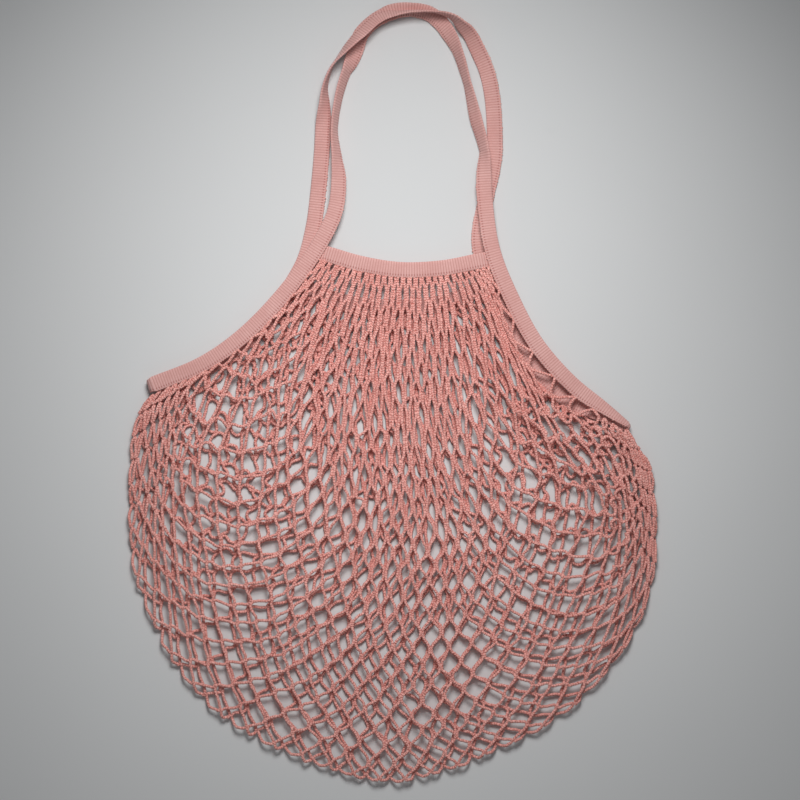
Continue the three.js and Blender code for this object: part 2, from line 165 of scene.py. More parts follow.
# %% Tape with its ribs
RIB = 2.1
RIB_SHAPE = np.array([-1.0, 0.2, 0.6, 0.2]) * 0.07
RIB_STEPS = len(RIB_SHAPE)
RIB_FADE, EDGE_RIB, TURN_PINCH = 0.6, 0.1, 0.22
HALF_ROUND = np.array([
    (6.25, 0), (6.05, 0.5), (5.3, 0.86), (3.6, 0.97), (0, 1.0), (-3.6, 0.97), (-5.3, 0.86), (-6.05, 0.5),
])
ROUND = np.vstack([HALF_ROUND, -HALF_ROUND])


def corner_turn(start, end, steps):
    """Frames that turn the tape over at a corner, from one layer to the other."""
    angle = (math.pi * np.arange(1, steps) / steps)[:, None]
    radius = np.linalg.norm(start["place"][-1] - end["place"][0]) / 2
    normal = start["normal"][-1] * np.cos(angle) + start["along"][-1] * np.sin(angle)
    across = start["across"][-1] + (end["across"][0] - start["across"][-1]) * angle / math.pi
    across = unit(across - normal * (across * normal).sum(1, keepdims=True))
    middle = (start["place"][-1] + end["place"][0]) / 2
    return {"place": middle + normal * radius, "along": np.cross(across, normal),
            "across": across, "normal": normal,
            "row": np.full(steps - 1, np.nan), "wide": 1 - TURN_PINCH * np.sin(angle[:, 0])}


def turned_back(frames):
    """The same frames for a tape that runs the other way."""
    other = {key: value[::-1] for key, value in frames.items()}
    other["along"], other["normal"] = -other["along"], -other["normal"]
    return other


def joined(parts):
    return {key: np.concatenate([part[key] for part in parts]) for key in parts[0]}


def new_piece(name, mesh):
    piece = bpy.data.objects.new(name, mesh)
    bpy.context.scene.collection.objects.link(piece)
    return piece


print("a rib every", RIB, "mm,", RIB_STEPS, "sections each")


# %% Sleeve rolled from a grid
def rolled_tape(name, frames, endless, rib, seam_turned):
    """A ribbed sleeve along the frames. The cloth map is in metres: along the tape, and from its hem."""
    rings, sides = len(frames["place"]), len(ROUND)
    steps = rings if endless else rings - 1
    bm = bmesh.new()
    bm.loops.layers.uv.new("cloth")
    bmesh.ops.create_grid(bm, x_segments=steps, y_segments=sides, size=1, calc_uvs=True)
    mesh = bpy.data.meshes.new(name)
    bm.to_mesh(mesh)
    bm.free()

    on_grid = np.empty(len(mesh.vertices) * 3, np.float32)
    mesh.vertices.foreach_get("co", on_grid)
    on_grid = on_grid.reshape(-1, 3)
    ring = np.round((on_grid[:, 0] + 1) / 2 * steps).astype(int)
    side = np.round((on_grid[:, 1] + 1) / 2 * sides).astype(int)
    k = ring % rings
    from_hem = TAPE_WIDTH / 2 + ROUND[side % sides, 0]
    from_hem = np.where(seam_turned[k], TAPE_WIDTH - from_hem, from_hem)
    depth = RIB_SHAPE[k % RIB_STEPS] * rib[k] * (1 - RIB_FADE * from_hem / TAPE_WIDTH)
    width = ROUND[side % sides, 0] * frames["wide"][k] * (1 + EDGE_RIB * depth)
    height = ROUND[side % sides, 1] * (1 + depth)
    place = frames["place"][k] + frames["across"][k] * width[:, None]
    place = place + frames["normal"][k] * height[:, None]
    mesh.vertices.foreach_set("co", (place / MM).astype(np.float32).ravel())

    corner = np.empty(len(mesh.loops), np.int32)
    mesh.loops.foreach_get("vertex_index", corner)
    length = np.concatenate([lengths_along(frames["place"]), [0]])
    if endless:
        length[-1] = length[-2] + np.linalg.norm(frames["place"][0] - frames["place"][-1])
    cloth = np.stack([length[ring[corner]], from_hem[corner]], axis=1) / MM
    mesh.uv_layers["cloth"].data.foreach_set("uv", cloth.astype(np.float32).ravel())

    bm = bmesh.new()
    bm.from_mesh(mesh)
    bmesh.ops.remove_doubles(bm, verts=bm.verts, dist=TINY)
    if not endless:
        bmesh.ops.holes_fill(bm, edges=[e for e in bm.edges if e.is_boundary], sides=0)
    bmesh.ops.recalc_face_normals(bm, faces=bm.faces)
    for face in bm.faces:
        face.smooth = len(face.verts) == 4
    bm.to_mesh(mesh)
    bm.free()
    return new_piece(name, mesh)


print("a sleeve has", len(ROUND), "sides")

# %% [markdown]
# ## Endless strap
# The strap is one endless tape: along the front run, over at the right-hand corner, back along the back run
# and over again at the left-hand corner. It could be four pieces, but then gaps would show at the corners.
# So the frames of all four parts are joined first, and one sleeve is rolled along them.
# At the right-hand corner the tape narrows to a tip before it turns over.

# %% Endless strap
TIP, TIP_ROWS, TIP_WIDE = 0.45, 2.5, 0.34
# The rows of the front run are counted on from here, so that the two runs can be told apart.
FRONT_COUNT = 100
FRONT_TIP, BACK_TIP = FRONT_COUNT + 30.5, 32.5
FRONT_HANDLE, TURNED_HANDLE = (FRONT_COUNT + 5.5, FRONT_COUNT + 26), (19.3, 27.4)
RIGHT_STEPS, LEFT_STEPS = 17, 26
HANDLE_RIBS = 0.3


def whole_run(run):
    """Frames along a run, which ends short of its last row to leave room for the turn."""
    return tape_frames(run, [row for row in even_rows(run, RIB / RIB_STEPS) if row < len(run) - 1 - TIP])


front_run, back_run = whole_run(FRONT_RUN), whole_run(BACK_RUN)
front_run["row"] = front_run["row"] + FRONT_COUNT
for run_frames, first in ((front_run, FRONT_TIP), (back_run, BACK_TIP)):
    wide = np.interp(run_frames["row"], [first, first + TIP_ROWS], [1, TIP_WIDE])
    run_frames["wide"] = wide
    outwards = run_frames["across"] * (TAPE_WIDTH / 2 * (1 - wide))[:, None]
    run_frames["place"] = run_frames["place"] + outwards
right_turn = corner_turn(front_run, turned_back(back_run), RIGHT_STEPS)
right_turn["wide"] = right_turn["wide"] * TIP_WIDE
left_turn = corner_turn(turned_back(back_run), front_run, LEFT_STEPS)
strap_run = joined([front_run, right_turn, turned_back(back_run), left_turn])
whole_ribs = len(strap_run["place"]) // RIB_STEPS * RIB_STEPS
strap_run = {key: value[:whole_ribs] for key, value in strap_run.items()}
rows = np.nan_to_num(strap_run["row"], nan=-1)
strap_ribs = np.where((rows > FRONT_HANDLE[0]) & (rows < FRONT_HANDLE[1]), HANDLE_RIBS, 1.0)
strap_turned = (rows > TURNED_HANDLE[0]) & (rows < TURNED_HANDLE[1])
strap = rolled_tape("ribbed_strap", strap_run, True, strap_ribs, strap_turned)
print("strap sections", len(rows), "faces", len(strap.data.polygons))

# %% [markdown]
# ## Bindings
# Each binding is a short length of the same tape across the top end of one layer of the net.
# The ends of the front one are led on below the strap, where the real ones are sewn in.
# They could simply stop at the strap, but then a gap would show beside it.

# %% Bindings
# How far past its end a binding is led, and how far down.
TUCK_STOPS = ((-4, 0), (2, 1.87), (8, 2.2))


def tucked(run):
    """The same run, with both ends led on below the strap."""
    ends = []
    for end, inner in ((run[0], run[1]), (run[-1], run[-2])):
        way = unit(end[:2] - inner[:2])
        ends.append([np.array([*(end[:2] + way * far), end[2] - low, 0]) for far, low in TUCK_STOPS])
    return np.vstack([ends[0][::-1], run[1:-1], ends[1]])


bindings = {}
binding_runs = {"front_binding": tucked(FRONT_BINDING), "back_binding": BACK_BINDING}
for name, run in binding_runs.items():
    run_frames = tape_frames(run, even_rows(run, RIB / RIB_STEPS))
    count = len(run_frames["place"])
    piece = rolled_tape("ribbed_" + name, run_frames, False, np.ones(count), np.zeros(count, bool))
    bindings[name] = (piece, run_frames)
    print(piece.name, "sections", count, "faces", len(piece.data.polygons))

# %% [markdown]
# ## Stitches along the hem
# Overlock stitches wrap the hem where the net is sewn to the tape, and show as a row of small slanted bumps.
# One bump is a low ball, squeezed and slanted. It is copied to its places by moving arrays of corners,
# because a thousand objects would be slow to handle and the bumps are one seam.

# %% Stitches along the hem
STITCH, STITCH_INSET = 2.1, 0.75
STITCH_LONG, STITCH_WIDE, STITCH_HIGH = 1.25, 0.72, 0.98
STITCH_SLANT, SLANT_VARIES, SIZE_VARIES = 0.35, 0.15, 0.12
BALL_RINGS, BALL_SIDES = 4, 7
rng = np.random.default_rng(7)


def ball_template(rings, sides):
    bm = bmesh.new()
    bmesh.ops.create_uvsphere(bm, u_segments=sides, v_segments=rings, radius=1)
    bmesh.ops.triangulate(bm, faces=bm.faces)
    points = np.array([v.co[:] for v in bm.verts])
    faces = np.array([[v.index for v in f.verts] for f in bm.faces])
    bm.free()
    return points, faces


def mesh_from_arrays(name, points, faces):
    mesh = bpy.data.meshes.new(name)
    mesh.from_pydata((points / MM).tolist(), [], faces)
    mesh.polygons.foreach_set("use_smooth", np.ones(len(mesh.polygons), bool))
    return mesh


def hem_stitches(name, parts):
    """One bump for each stitch, along the hem of each (frames, side of the hem)."""
    ball, ball_faces = ball_template(BALL_RINGS, BALL_SIDES)
    points = []
    for frames, side in parts:
        length = lengths_along(frames["place"])
        count = int(length[-1] / STITCH)
        k = np.searchsorted(length, (np.arange(count) + 0.5) * STITCH)
        slant = STITCH_SLANT + SLANT_VARIES * rng.standard_normal(count)
        size = 1 + SIZE_VARIES * rng.standard_normal(count)
        for n, ring in enumerate(k):
            along, across, normal = (frames[key][ring] for key in ("along", "across", "normal"))
            from_middle = TAPE_WIDTH / 2 * frames["wide"][ring] - STITCH_INSET
            middle = frames["place"][ring] + across * side[ring] * from_middle
            lean = unit(along * math.sin(slant[n]) + across * math.cos(slant[n]))
            thin = np.cross(normal, lean)
            shape = ball * np.array([STITCH_LONG * size[n], STITCH_WIDE * size[n], STITCH_HIGH])
            points.append(middle + shape @ np.stack([lean, thin, normal]))
    total = len(points)
    faces = (ball_faces[None] + np.arange(total)[:, None, None] * len(ball)).reshape(-1, 3)
    return new_piece(name, mesh_from_arrays(name, np.concatenate(points), faces.tolist()))


strap_stitches = hem_stitches("strap_stitches", [(strap_run, np.where(strap_turned, 1, -1))])
binding_hems = [(frames, np.full(len(frames["place"]), -1)) for _, frames in bindings.values()]
binding_stitches = hem_stitches("binding_stitches", binding_hems)
print("stitch faces", len(strap_stitches.data.polygons), len(binding_stitches.data.polygons))

# %% [markdown]
# ## Plan of the net
# The net has 28 meshes across and 13 down each layer. Its top ends are gathered in the bindings, its sides
# along the slopes of the tape, and between the layers it folds over at the round rim.
# The places of its joints are spread over the shape between these four edges, as a sheet of rubber would be.
# They are then drawn towards the middle, lowered in a wing on each side, and drawn together where the real
# net has slid into bunches beside the two corners. Beside the right-hand slope a band of bare strands stays.
# The back layer gets other amounts, so it lies at its own angle.

# %% Plan of the net
MESHES, HALF_ROWS = 28, 26
FOLD_ROW = 26.34
RIM = np.array([
    (-201, -9), (-207.5, -28), (-211.5, -70), (-209, -136), (-194, -181), (-170, -225), (-134, -261),
    (-90, -286), (-46, -302), (-2, -310), (38, -303), (82, -286), (122, -266), (158, -237),
    (186, -202), (204, -164), (211, -122), (209, -80), (204, -51),
])
RIM_HEIGHT, RIM_STEPS, RIM_CROWD = 5.2, 2000, 0.3
LEFT_INWARDS, RIGHT_SHORTER, RIGHT_OUTWARDS = TAPE_WIDTH / 2 + 1.5, 7, 1.0
TUCK, HEM_STEPS = 0.6, 70


def hem(run, rows):
    frames = tape_frames(run, rows)
    return frames["place"] - frames["across"] * (TAPE_WIDTH / 2 - TUCK)


def hem_edge(run, first, last):
    """Hem line of a tape between two rows, with the direction that leads out of the net."""
    rows = np.linspace(first, last, HEM_STEPS)
    return hem(run, rows), tape_frames(run, rows)["across"]


def by_length(points, shares):
    length = lengths_along(points)
    return np.stack([np.interp(shares, length / length[-1], points[:, k]) for k in range(3)], axis=-1)


def rim_corner(sign):
    """End of the rim between the two layers of tape, at the left corner (-1) or the right one (1)."""
    ends = [tape_frames(run, [len(run) - 1 if sign > 0 else 0]) for run in (FRONT_RUN, BACK_RUN)]
    reach = np.linalg.norm(ends[0]["place"] - ends[1]["place"]) / 2
    onwards, inwards = (reach, LEFT_INWARDS) if sign < 0 else (reach - RIGHT_SHORTER, -RIGHT_OUTWARDS)
    corners = [end["place"] + end["along"] * sign * onwards - end["across"] * inwards for end in ends]
    return np.mean(corners, axis=0)[0]


rim_rows = np.vstack([rim_corner(-1), np.column_stack([RIM, np.full(len(RIM), RIM_HEIGHT)]), rim_corner(1)])
rim_line = through(rim_rows, np.linspace(0, len(rim_rows) - 1, RIM_STEPS))


def rim(u):
    """A place on the rim. The meshes are closer together at the bottom than at the corners."""
    return by_length(rim_line, u + RIM_CROWD * np.sin(2 * np.pi * u) / (2 * np.pi))


print("rim", round(lengths_along(rim_line)[-1]), "mm round")

# %% Places of the joints
FRONT_SHOULDERS, BACK_SHOULDERS = (4, 27), (4, 29)
TOP_STEPS, TOP_MORE, END_STEP = 400, (3.4, 1.7), 9
TOP_EASE, RIM_EASE, WING_EASE, LEAN_EASE = 16, 12, 0.4, 5
# Each pair is a share down or across the net, and the amount there.
SIDE_GATHER = np.array([(0, 0), (0.2, 0.35), (0.4, 0.65), (0.55, 0.79), (0.75, 0.91), (1, 1)])
WINGS = np.array([(0, 0), (0.05, 0.08), (0.1, 0.12), (0.18, 0.13), (0.27, 0.09), (0.36, 0.04), (0.5, 0)])
DRAWN = np.array([
    (0, 0), (0.08, 0.06), (0.18, 0.13), (0.3, 0.2), (0.45, 0.21), (0.6, 0.14), (0.8, 0.05), (1, 0),
])
# A bunch is a place, its width and height, and how far it is drawn aside.
BUNCHES = np.array([(-150, -45, 27, 62, -15), (156, -78, 27, 58, 14)])
SWEEP_FROM, SWEEP_TO = np.array([84.0, 84.0]), np.array([166.0, -84.0])
SWEEP_REACH, SWEEP_AMOUNT, SWEEP_FADES = 30, 0.55, (12, 16)
ASIDE_BAND, ASIDE_EASE = (0.04, 0.56), 1.3
BARE_BAND, BARE_FIRST, BARE_MORE = (0.06, 0.5), 0.45, 0.25
SIDE_COLUMNS, COLUMN_ROOM, TOP_ROOM, TOP_SHARE = 7, 1.6, 0.4, 0.1


def keep_inside(places, edge, across, depth):
    """Moves places away from the hem, in plan, until they lie deep enough inside the net."""
    way = edge[None, :, :2] - places[:, None, :2]
    nearest = np.argmin((way ** 2).sum(-1), axis=1)
    out = unit(across[nearest, :2])
    inside = (way[np.arange(len(places)), nearest] * out).sum(1)
    places[:, :2] -= out * np.maximum(0, depth - inside)[:, None]


def band(v, start, span):
    """0 outside a band of v, and a round hump of 1 in it."""
    return np.sin(np.pi * np.clip((v - start) / span, 0, 1))


def layer_plan(binding, run, shoulders, drawn, warp, winged, bunched, bare, lean):
    """Places of all joints of one layer, as rows from the binding to the rim."""
    left, right, last = *shoulders, len(run) - 1
    v = np.arange(HALF_ROWS + 1) / FOLD_ROW
    v = v - warp * np.sin(np.pi * v)
    u = np.arange(2 * MESHES + 1) / (2 * MESHES)
    pull = drawn * np.interp(v, *DRAWN.T)
    u, v = np.broadcast_arrays(u[None], v[:, None])
    u = np.clip(u + pull[:, None] * np.sin(2 * np.pi * u) / (2 * np.pi), 0, 1)
    u = u + lean * np.sin(np.pi * u) * np.sin(2 * np.pi * v) * (1 - v ** LEAN_EASE)
    share = v[:, 0]
    wing = np.interp(np.minimum(u, 1 - u), *WINGS.T)
    v = v + winged * wing * np.sin(np.pi * v) * (1 - v) ** WING_EASE
    top_line = hem(binding, np.linspace(0, len(binding) - 1, TOP_STEPS))
    outwards = [unit(top_line[a] - top_line[b]) for a, b in ((0, END_STEP), (-1, -1 - END_STEP))]
    past_ends = [top_line[end] + TOP_MORE[end] * outwards[end] for end in (0, -1)]
    top_line = np.vstack([past_ends[0], top_line, past_ends[1]])

    def side(shoulder, corner, top_end, rim_end):
        rows = shoulder + (corner - shoulder) * np.interp(share, *SIDE_GATHER.T)
        place = hem(run, rows) + (top_end - hem(run, [shoulder])) * ((1 - share) ** TOP_EASE)[:, None]
        return (place + (rim_end - hem(run, [corner])) * (share ** RIM_EASE)[:, None])[:, None]

    ends = top_line[0], top_line[-1], rim(np.array(0.0)), rim(np.array(1.0))
    a, b = u[..., None], v[..., None]
    place = by_length(top_line, u) * (1 - b) + rim(u) * b
    place = place + side(left, 0, ends[0], ends[2]) * (1 - a)
    place = place + side(right, last, ends[1], ends[3]) * a
    place = place - ends[0] * (1 - a) * (1 - b) - ends[1] * a * (1 - b)
    place = place - ends[2] * (1 - a) * b - ends[3] * a * b
    for x, y, wide, high, shift in BUNCHES:
        near = np.exp(-((place[..., 0] - x) / wide) ** 2 - ((place[..., 1] - y) / high) ** 2)
        place[:, 1:-1, 0] += (shift * bunched * near)[:, 1:-1]
    way = unit(SWEEP_TO - SWEEP_FROM)
    off = (place[..., 0] - SWEEP_FROM[0]) * -way[1] + (place[..., 1] - SWEEP_FROM[1]) * way[0]
    past = (place[..., 0] - SWEEP_FROM[0]) * way[0] + (place[..., 1] - SWEEP_FROM[1]) * way[1]
    beyond = past - math.hypot(*(SWEEP_TO - SWEEP_FROM))
    fade = 1 / (1 + np.exp(-past / SWEEP_FADES[0])) / (1 + np.exp(beyond / SWEEP_FADES[1]))
    drift = -off * SWEEP_AMOUNT * max(0.0, bunched) * np.exp(-(off / SWEEP_REACH) ** 2) * fade
    place[:, 1:-1, :2] += (drift[..., None] * np.array([-way[1], way[0]]))[:, 1:-1]
    aside = band(v, *ASIDE_BAND) * np.clip(2 * u - 1, 0, 1) ** ASIDE_EASE
    place[:, 1:-1, 0] -= (bare[1] * aside)[:, 1:-1]
    for side_rows, first, step, gap in (((left, 0), 0, 1, bare[0]), ((right, last), -1, -1, bare[1])):
        edge, across = hem_edge(run, *side_rows)
        open_band = gap * band(share[1:], *BARE_BAND)
        for k in range(1, SIDE_COLUMNS + 1):
            depth = COLUMN_ROOM * k * np.clip(share[1:] / TOP_SHARE, TOP_ROOM, 1)
            depth = depth + open_band * min(1.0, BARE_FIRST + BARE_MORE * k)
            keep_inside(place[1:, first + step * k], edge, across, depth)
    return place


front_plan = layer_plan(FRONT_BINDING, FRONT_RUN, FRONT_SHOULDERS, drawn=1.0, warp=0.05,
                        winged=1.0, bunched=1.0, bare=(1.5, 11.0), lean=0.0)
back_plan = layer_plan(BACK_BINDING, BACK_RUN, BACK_SHOULDERS, drawn=0.8, warp=0.09,
                       winged=-0.3, bunched=-0.35, bare=(0.0, 0.0), lean=0.05)
print("joints planned", front_plan.shape, back_plan.shape)

# %% [markdown]
# ## Joints of the net
# Where two cords meet, they run side by side for 2 to 4 mm and then part again.
# So each joint is two spots, one where the cords come in and one where they leave.
# Real joints never lie in even rows: every column has slipped up or down a little in the gathers, and loose
# meshes have wandered. Soft noise moves the joints in the same way.

# %% Joints of the net
JOINT, SHORT_JOINT, JOINT_SHARE = 4.2, 1.6, 0.33
FINE_REACH, FINE_SIZE = 1.6, 2.2
WIDE_REACH, WIDE_SIZES = 5, (2.2, 4.5)
COLUMN_SLIPS, COLUMN_JITTER = ((1.3, 3.2), (4, 4)), 1.3
BINDING_JITTER, SLOPE_JITTER = 0.5, 1.5
CALM_SIDES, CALM_TOP, CALM_MESH = 6, 4, 7
SLIP_FULL, SLIP_END = 1.4, 0.75
CALM_SHARES, CALM_ROOM = [0.3, 0.55], 0.5
DOWN_JITTER, DOWN_CALM = 0.24, 0.18
ACROSS_JITTER, ACROSS_CALM = 0.15, 0.1
FRONT, BACK, FOLD = 0, 1, 2
spots, sheet_of, hold_of, firm = [], [], [], []
plans = (front_plan, back_plan)


def spot(place, sheet, hold, is_firm=False):
    spots.append(np.array(place[:2], float))
    sheet_of.append(sheet)
    hold_of.append(hold)
    firm.append(is_firm)
    return len(spots) - 1


def soft_noise(shape, reach):
    """Seeded noise over rows and columns that changes smoothly over the given reach."""
    half = int(3 * reach)
    weights = np.exp(-((np.arange(-half, half + 1) / reach) ** 2))
    weights = weights / np.sqrt((weights ** 2).sum())
    noise = rng.standard_normal((shape[0] + 2 * half, shape[1] + 2 * half))
    for axis in (0, 1):
        noise = np.apply_along_axis(lambda line: np.convolve(line, weights, "valid"), axis, noise)
    return noise


grid = (HALF_ROWS + 1, 2 * MESHES + 1)
enter, leave, down_of = {}, {}, {}
for layer, plan in enumerate(plans):
    fine = [soft_noise(grid, FINE_REACH) * FINE_SIZE for _ in range(2)]
    wide = [soft_noise(grid, WIDE_REACH) * WIDE_SIZES[layer] for _ in range(2)]
    slips = [soft_noise((1, grid[1]), reach)[0] * size for reach, size in COLUMN_SLIPS]
    ladder = slips[0] + slips[1] + rng.normal(0, COLUMN_JITTER, grid[1])
    for r in range(grid[0]):
        for c in range(grid[1]):
            if (r + c + layer) % 2:
                continue
            down = plan[min(r + 1, HALF_ROWS), c, :2] - plan[max(r - 1, 0), c, :2]
            across = plan[r, min(c + 1, grid[1] - 1), :2] - plan[r, max(c - 1, 0), :2]
            tall, broad = np.linalg.norm(down) / 2 + TINY, np.linalg.norm(across) / 2 + TINY
            down, across = down / (2 * tall), across / (2 * broad)
            down_of[layer, r, c] = down
            middle = plan[r, c, :2].copy()
            if r == 0 or c in (0, grid[1] - 1):
                way, far = (across, BINDING_JITTER) if r == 0 else (down, SLOPE_JITTER)
                middle += way * rng.uniform(-1, 1) * far
                enter[layer, r, c] = leave[layer, r, c] = spot(middle, layer, 0.0, True)
                continue
            room = min(c, grid[1] - 1 - c, CALM_SIDES) / CALM_SIDES * min(r, CALM_TOP) / CALM_TOP
            v = r / FOLD_ROW
            slip = ladder[c] * min(1, r / SLIP_FULL) * max(0.0, 1 - v / SLIP_END)
            calm = np.interp(v, CALM_SHARES, [0, 1])
            room *= 1 - CALM_ROOM * calm
            slip += rng.normal(0, 1) * tall * (DOWN_JITTER - DOWN_CALM * calm)
            middle += down * (slip + room * min(1, tall / CALM_MESH) * (fine[0][r, c] + wide[0][r, c]))
            middle += across * rng.normal(0, 1) * broad * (ACROSS_JITTER - ACROSS_CALM * calm)
            middle += across * room * min(1, broad / CALM_MESH) * (fine[1][r, c] + wide[1][r, c])
            half = min(JOINT, max(SHORT_JOINT, JOINT_SHARE * tall)) / 2
            enter[layer, r, c] = spot(middle - down * half, layer, 1.0)
            leave[layer, r, c] = spot(middle + down * half, layer, 1.0)

# %% [markdown]
# ## Cords that lie as slack cotton does
# Each cord zigzags down between its two neighbours, is knitted to one and then the other, turns over the fold
# and zigzags up the other layer.
# Where the joints lie closer than the cord between them is long, the spare length curls sideways.
# Such spare length lies in zones: a place, its reach and how slack the cords are there.
# Blender's Cloth works on faces, and a cord has none. So every stretch is cut into short links, which keep
# their length when the cords settle.

# %% Stretches between the joints
STRETCH, LINKS = 13.4, 4
SLACK_ZONES = np.array([
    (-156, -38, 34, 0.75), (-192, -70, 42, 0.50), (-120, -110, 50, 0.12), (156, -40, 36, 1.15),
    (188, -98, 46, 0.75), (144, -22, 20, 0.45), (130, -130, 45, 0.15), (142, -66, 26, 0.5),
])
BACK_ZONES = np.array([(-100, 0, 62, 0.32), (112, -40, 62, 0.3)])
BACK_LOOSE, LOOSE_RANGE = 0.12, (0.6, 1.2)
SPARE, SPARE_VARIES, LEAST_SPARE, MOST_STRETCH, BOW = 1.02, 0.03, 1.01, 1.3, 0.6
FOLD_STEP, FOLD_BOW, FOLD_JITTER, FOLD_SPARE = 5, 1.5, 0.4, 1.05


def slackness(zones, x, y):
    return sum(amount * math.exp(-((x - x0) ** 2 + (y - y0) ** 2) / reach ** 2)
               for x0, y0, reach, amount in zones)


def stretch(a, b, sheet):
    """Numbers of the spots from joint a to joint b with new ones between them, and the length of one link."""
    start, end = spots[a], spots[b]
    way = end - start
    size = max(TINY, np.linalg.norm(way))
    sideways = np.array([-way[1], way[0]]) / size
    middle = (start + end) / 2
    loose = slackness(SLACK_ZONES, *middle)
    loose = loose + (BACK_LOOSE + slackness(BACK_ZONES, *middle) if sheet == BACK else 0.0)
    own = size * (SPARE + abs(rng.normal(0, SPARE_VARIES))) + loose * STRETCH * rng.uniform(*LOOSE_RANGE)
    own = max(size * LEAST_SPARE, min(own, STRETCH * MOST_STRETCH))
    bow = BOW * size * math.sqrt(max(0.0, own / size - 1)) * rng.choice([-1, 1])
    if sheet == FOLD:
        near = np.argmin(((rim_line[FOLD_STEP:-FOLD_STEP, :2] - middle) ** 2).sum(1)) + FOLD_STEP
        run = unit(rim_line[near + FOLD_STEP, :2] - rim_line[near - FOLD_STEP, :2])
        sideways = np.array([run[1], -run[0]])
        bow = max(FOLD_BOW, (rim_line[near, :2] - middle) @ sideways) + rng.normal(0, FOLD_JITTER)
        own = 2 * math.hypot(size / 2, bow) * FOLD_SPARE
    inner = []
    for n in range(1, LINKS):
        place = start + way * n / LINKS + sideways * bow * math.sin(math.pi * n / LINKS)
        inner.append(spot(place, sheet, 1.0 if sheet == FOLD and 2 * n == LINKS else 0.0))
    return [a, *inner, b], own / LINKS


stretches = []
for layer, r, c in list(enter):
    for slant in (-1, 1):
        if not 0 <= c + slant <= 2 * MESHES:
            continue
        if r < HALF_ROWS:
            ids, link = stretch(leave[layer, r, c], enter[layer, r + 1, c + slant], layer)
            stretches.append((layer, r, c, slant, ids, link))
        elif layer == FRONT:
            ids, link = stretch(leave[FRONT, r, c], leave[BACK, r, c + slant], FOLD)
            stretches.append((FOLD, r, c, slant, ids, link))
print("stretches", len(stretches), "spots", len(spots))

# %% [markdown]
# ## Stretches in a row
# A real cord runs on between the same two columns of joints, down the front layer, over the fold and up
# the back layer. It could be followed from joint to joint, but each stretch is already known by its layer,
# row, column and slant. So they are looked up in order, each with the direction in which it is followed.

# %% Chain the stretches into cords
follow = {stretch_row[:4]: number for number, stretch_row in enumerate(stretches)}


def zigzag(layer, r, column):
    """The stretch of a layer, or of the fold, between a column and the next one, below row r."""
    c = column if (layer + r + column) % 2 == 0 else column + 1
    return follow[layer, r, c, 1 if c == column else -1]


cords = []
for column in range(2 * MESHES):
    path = [(zigzag(FRONT, r, column), 1) for r in range(HALF_ROWS)]
    path.append((zigzag(FOLD, HALF_ROWS, column), 1))
    path += [(zigzag(BACK, r, column), -1) for r in reversed(range(HALF_ROWS))]
    cords.append(path)
print("cords", len(cords), "stretches in cords", sum(len(path) for path in cords))

# %% [markdown]
# ## Settling
# The cords could be laid with a physics tool, but the links are few and simple enough for a short loop.
# Each round straightens the bends a little, draws the joints towards their planned places and gives every
# link its length again.
# Every few rounds, joints that lie too close together are pushed apart, and spots that have slipped below
# a hem are moved back into the net.

# %% Links of the cords
place = np.array(spots)
home, sheet_of = place.copy(), np.array(sheet_of)
hold, free = np.array(hold_of)[:, None], ~np.array(firm)[:, None]
count = len(place)
link_a, link_b, rest, bends = [], [], [], []
for path in cords:
    chain = []
    for number, direction in path:
        ids, link = stretches[number][4][::direction], stretches[number][5]
        if chain and chain[-1] != ids[0]:
            link_a.append(chain[-1])
            link_b.append(ids[0])
            rest.append(np.linalg.norm(home[chain[-1]] - home[ids[0]]))
        link_a += ids[:-1]
        link_b += ids[1:]
        rest += [link] * LINKS
        chain += ids[1:] if chain and chain[-1] == ids[0] else ids
    bends += zip(chain[:-2], chain[1:-1], chain[2:])
link_a, link_b, rest, bends = np.array(link_a), np.array(link_b), np.array(rest)[:, None], np.array(bends)
beside = [(part[layer, r, c], part[layer, r, c + 2]) for part in (enter, leave) for layer, r, c in part
          if (layer, r, c + 2) in part and r]
beside += [(leave[layer, r, c], enter[layer, r + 2, c]) for layer, r, c in leave
           if (layer, r + 2, c) in enter]
beside = np.array(beside)
print("links", len(rest), "bends", len(bends), "joints beside each other", len(beside))

# %% Let the cords settle
ROUNDS, LINK_ROUNDS, APART_EVERY, HEM_EVERY = 180, 2, 4, 12
STIFF, HOME, OVERDRIVE = 0.2, 0.1, 1.3
APART, APART_PUSH, HEM_CLEAR = 3.4, 0.3, 0.9
edges = []
for run, shoulders, binding in ((FRONT_RUN, FRONT_SHOULDERS, FRONT_BINDING),
                                (BACK_RUN, BACK_SHOULDERS, BACK_BINDING)):
    slopes = [hem_edge(run, shoulders[0], 0), hem_edge(run, shoulders[1], len(run) - 1)]
    edges.append([*slopes, hem_edge(binding, 0, len(binding) - 1)])


def summed(ids, values):
    return np.stack([np.bincount(ids, values[:, k], count) for k in range(2)], axis=1)


def inside_hems():
    for sheet in (FRONT, BACK):
        mine = np.flatnonzero((sheet_of == sheet) & free[:, 0])
        for edge, across in edges[sheet]:
            moved = place[mine]
            keep_inside(moved, edge, across, HEM_CLEAR)
            place[mine] = moved


